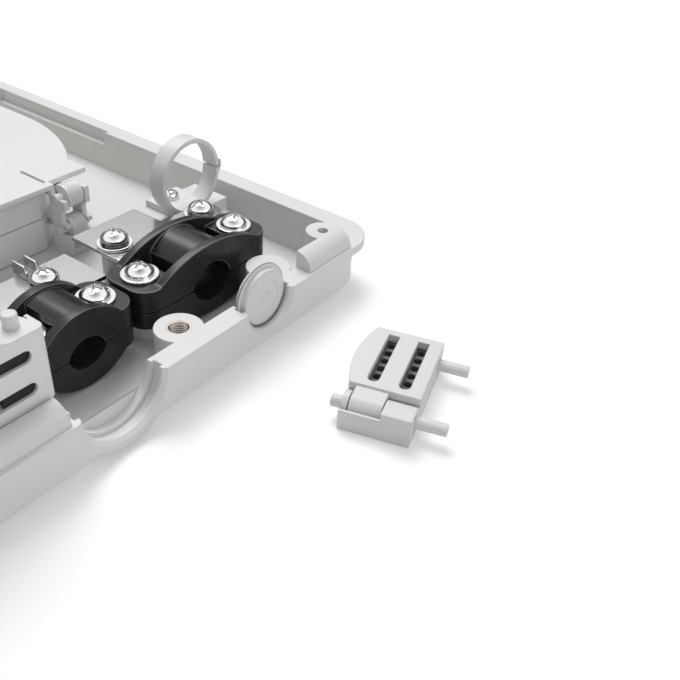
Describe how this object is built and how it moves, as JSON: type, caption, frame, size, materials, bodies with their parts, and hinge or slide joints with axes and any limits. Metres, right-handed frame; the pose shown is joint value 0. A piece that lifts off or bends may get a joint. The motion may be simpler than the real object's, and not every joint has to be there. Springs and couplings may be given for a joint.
{
  "type": "fibre distribution box",
  "caption": "Open wall-mounted fibre distribution box base with cable clamps, bonding plates, a guide ring, hinged splice trays and removable drop cable modules, one beside it.",
  "frame": {"origin": "middle of the base's flat back, where it meets the wall", "axes": "+Z out of the back towards the open side, cable entries face -Y, +Y towards the far rim"},
  "size_m": [0.2, 0.3462, 0.0407],
  "materials": {
    "housing": "satin",
    "tray": "satin",
    "clamp": "gloss",
    "steel": "plated",
    "plate": "bright",
    "brass": "machined",
    "rubber": "matt"
  },
  "bodies": {
    "housing": {"base_shell": "housing", "bonding_plate_large": "plate", "bonding_plate_small": "plate", "crimp_terminal": "steel", "entry_plug": "housing", "fitted_module_back": "housing", "fitted_module_door": "housing", "fitted_module_pin": "housing", "fitted_module_seal": "rubber", "guide_ring": "housing", "hinge_brackets": "housing", "large_clamp_inserts": "brass", "large_clamp_lower": "clamp", "large_clamp_screws": "steel", "large_clamp_upper": "clamp", "large_clamp_washers": "steel", "lid_insert": "brass", "loose_module_back": "housing", "loose_module_pin": "housing", "loose_module_seal": "rubber", "plate_lock_washers": "steel", "plate_screws": "steel", "plate_washers": "steel", "ring_screw": "steel", "small_clamp_inserts": "brass", "small_clamp_lower": "clamp", "small_clamp_screws": "steel", "small_clamp_upper": "clamp", "small_clamp_washers": "steel", "splice_holder_lower": "tray", "splice_tray_lower": "tray", "strip_screw": "steel", "terminal_screw": "steel", "terminal_washer": "steel"},
    "upper_tray": {"splice_tray_upper": "tray", "splice_holder_upper": "tray", "tray_cover": "tray"},
    "loose_door": {"loose_module_door": "housing"}
  },
  "joints": [
    {"name": "tray_hinge", "type": "hinge", "parent": "housing", "child": "upper_tray", "pos_m": [0.0105, -0.0685, 0.0207], "axis": [1, 0, 0], "range_deg": [0, 90]},
    {"name": "module_hinge", "type": "hinge", "parent": "housing", "child": "loose_door", "pos_m": [0.04542, -0.19311, 0.0045], "axis": [0.2924, -0.9563, 0], "range_deg": [0, 90]}
  ]
}
